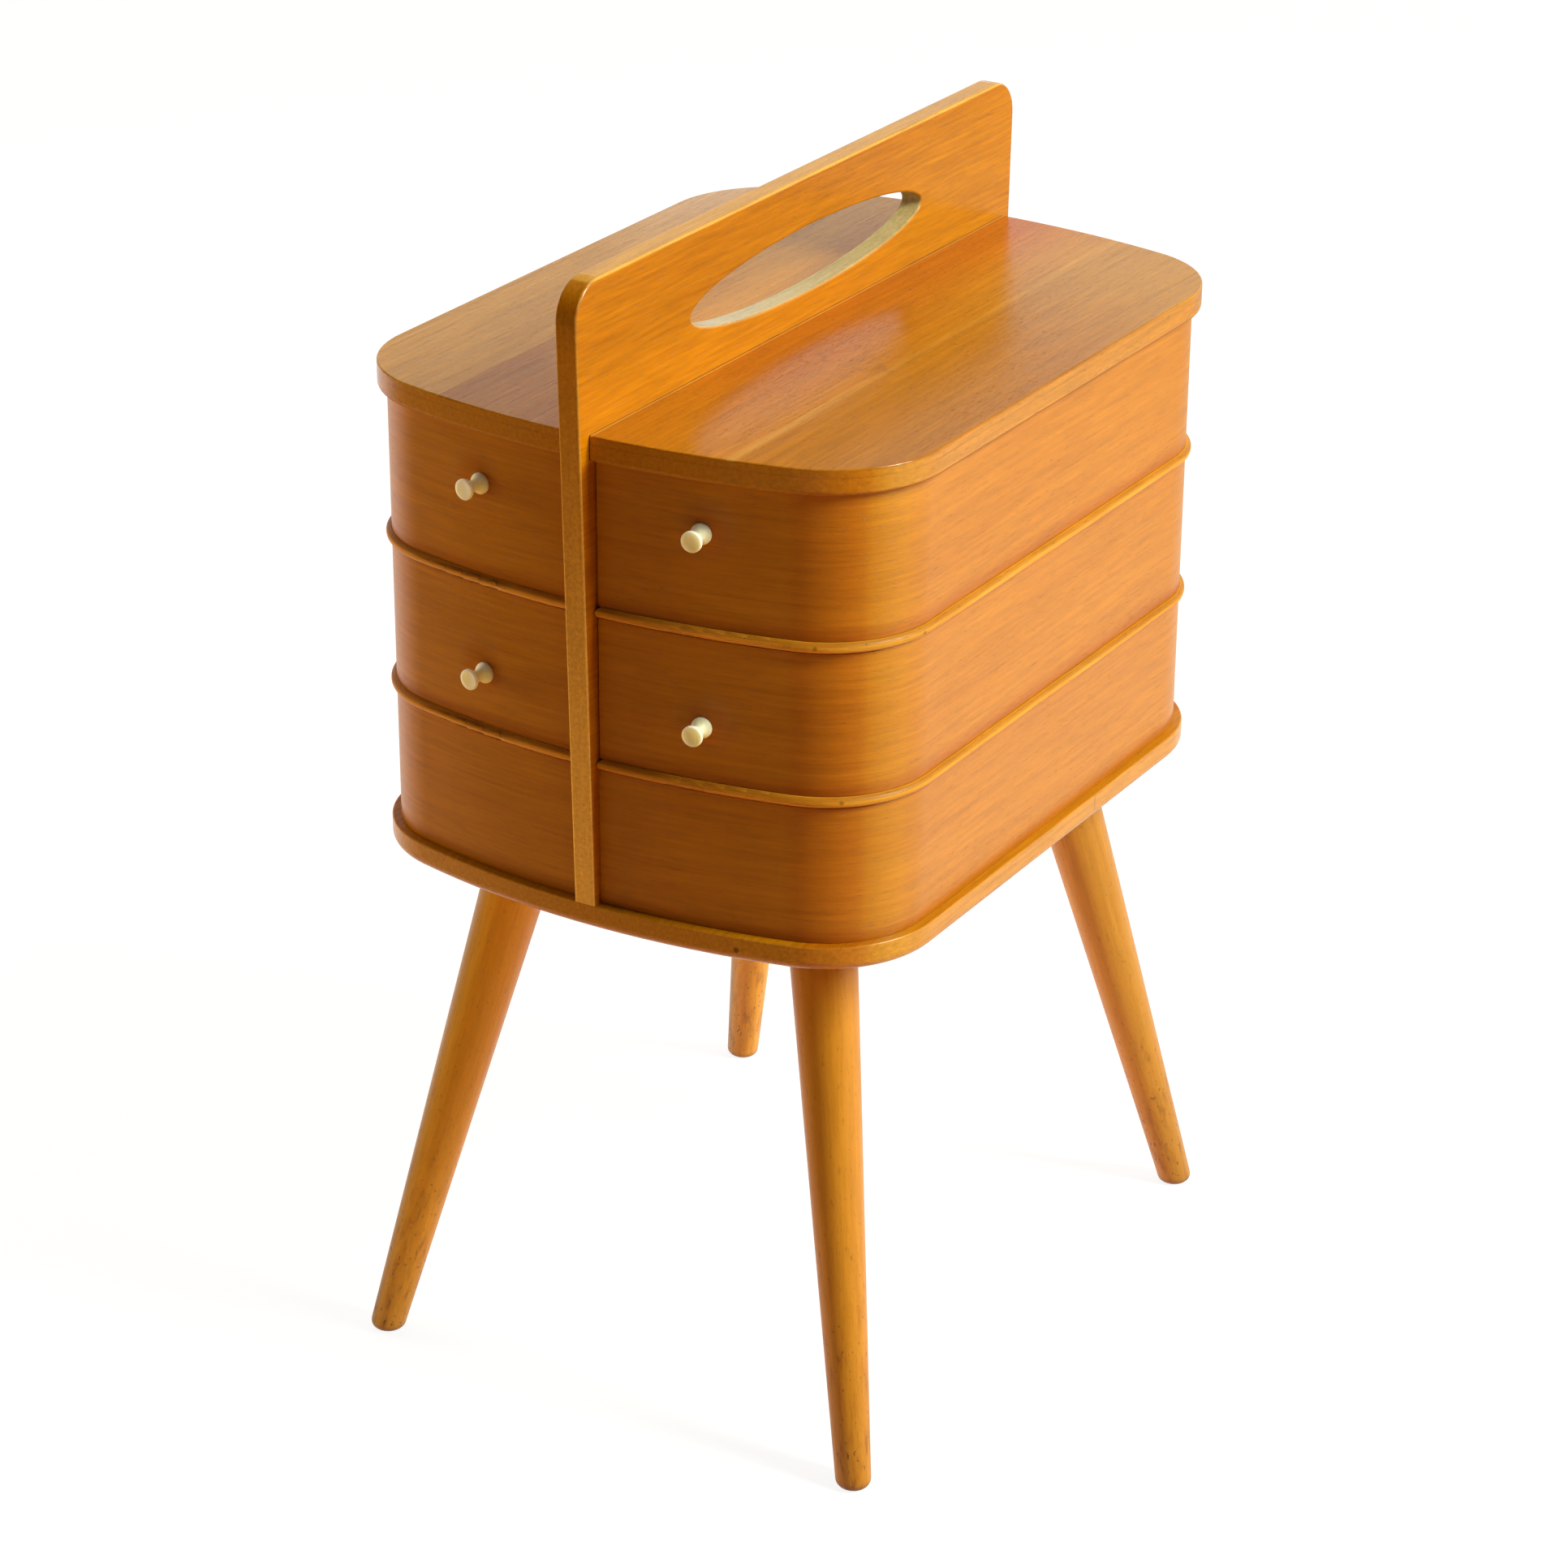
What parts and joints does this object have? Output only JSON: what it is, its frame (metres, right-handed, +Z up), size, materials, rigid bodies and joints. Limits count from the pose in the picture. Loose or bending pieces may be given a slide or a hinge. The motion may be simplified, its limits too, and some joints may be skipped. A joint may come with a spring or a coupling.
{
  "type": "sewing box",
  "caption": "Wooden sewing box on splayed tapered legs, with a centre board handle and rounded trays that swing out sideways on upright steel rods.",
  "frame": {"origin": "on the floor, below the middle of the box", "axes": "+Z up, +X across the centre board, Y along the board with the knobs on the -Y end"},
  "size_m": [0.321, 0.4396, 0.6446],
  "materials": {
    "wall_veneer": "satin clear varnish, grain running round the walls",
    "lid_veneer": "satin clear varnish, long strips of veneer",
    "board_veneer": "satin clear varnish",
    "base_veneer": "satin clear varnish",
    "tray_floor_ply": "satin clear varnish, rounded edge",
    "leg_beech": "satin clear varnish, speckled toward the feet",
    "beech": "bare sanded",
    "steel": "bright drawn",
    "knob_plastic": "cream, soft gloss"
  },
  "bodies": {
    "frame": {"centre_board": "board_veneer", "base_plate": "base_veneer", "lid_left": "lid_veneer", "lid_right": "lid_veneer", "lid_dowels": "beech", "board_screws": "steel", "leg_front_left": "leg_beech", "leg_front_right": "leg_beech", "leg_back_left": "leg_beech", "leg_back_right": "leg_beech", "leg_hanger_bolts": "steel", "leg_threaded_inserts": "steel", "pivot_rod_left": "steel", "pivot_rod_right": "steel", "pivot_rod_washers": "steel", "bottom_wall_front_left": "wall_veneer", "bottom_wall_front_right": "wall_veneer", "bottom_wall_back_left": "wall_veneer", "bottom_wall_back_right": "wall_veneer", "bottom_pivot_block_left": "beech", "bottom_pivot_block_right": "beech"},
    "top_tray_left": {"top_tray_floor_left": "tray_floor_ply", "top_tray_wall_front_left": "wall_veneer", "top_tray_wall_back_left": "wall_veneer", "top_tray_inner_wall_left": "wall_veneer", "top_tray_pivot_block_left": "beech", "top_tray_knob_left": "knob_plastic", "top_tray_knob_screw_left": "steel"},
    "top_tray_right": {"top_tray_floor_right": "tray_floor_ply", "top_tray_wall_front_right": "wall_veneer", "top_tray_wall_back_right": "wall_veneer", "top_tray_inner_wall_right": "wall_veneer", "top_tray_pivot_block_right": "beech", "top_tray_knob_right": "knob_plastic", "top_tray_knob_screw_right": "steel"},
    "middle_tray_left": {"middle_tray_floor_left": "tray_floor_ply", "middle_tray_wall_front_left": "wall_veneer", "middle_tray_wall_back_left": "wall_veneer", "middle_tray_inner_wall_left": "wall_veneer", "middle_tray_pivot_block_left": "beech", "middle_tray_knob_left": "knob_plastic", "middle_tray_knob_screw_left": "steel"},
    "middle_tray_right": {"middle_tray_floor_right": "tray_floor_ply", "middle_tray_wall_front_right": "wall_veneer", "middle_tray_wall_back_right": "wall_veneer", "middle_tray_inner_wall_right": "wall_veneer", "middle_tray_pivot_block_right": "beech", "middle_tray_knob_right": "knob_plastic", "middle_tray_knob_screw_right": "steel"}
  },
  "joints": [
    {"name": "top_left_swing", "type": "hinge", "parent": "frame", "child": "top_tray_left", "pos_m": [-0.02685, 0.18723, 0.51135], "axis": [0, 0, 1], "range_deg": [-90, 0]},
    {"name": "top_right_swing", "type": "hinge", "parent": "frame", "child": "top_tray_right", "pos_m": [0.02685, 0.18723, 0.51135], "axis": [0, 0, 1], "range_deg": [0, 90]},
    {"name": "middle_left_swing", "type": "hinge", "parent": "frame", "child": "middle_tray_left", "pos_m": [-0.02685, 0.18723, 0.42845], "axis": [0, 0, 1], "range_deg": [-90, 0]},
    {"name": "middle_right_swing", "type": "hinge", "parent": "frame", "child": "middle_tray_right", "pos_m": [0.02685, 0.18723, 0.42845], "axis": [0, 0, 1], "range_deg": [0, 90]}
  ]
}
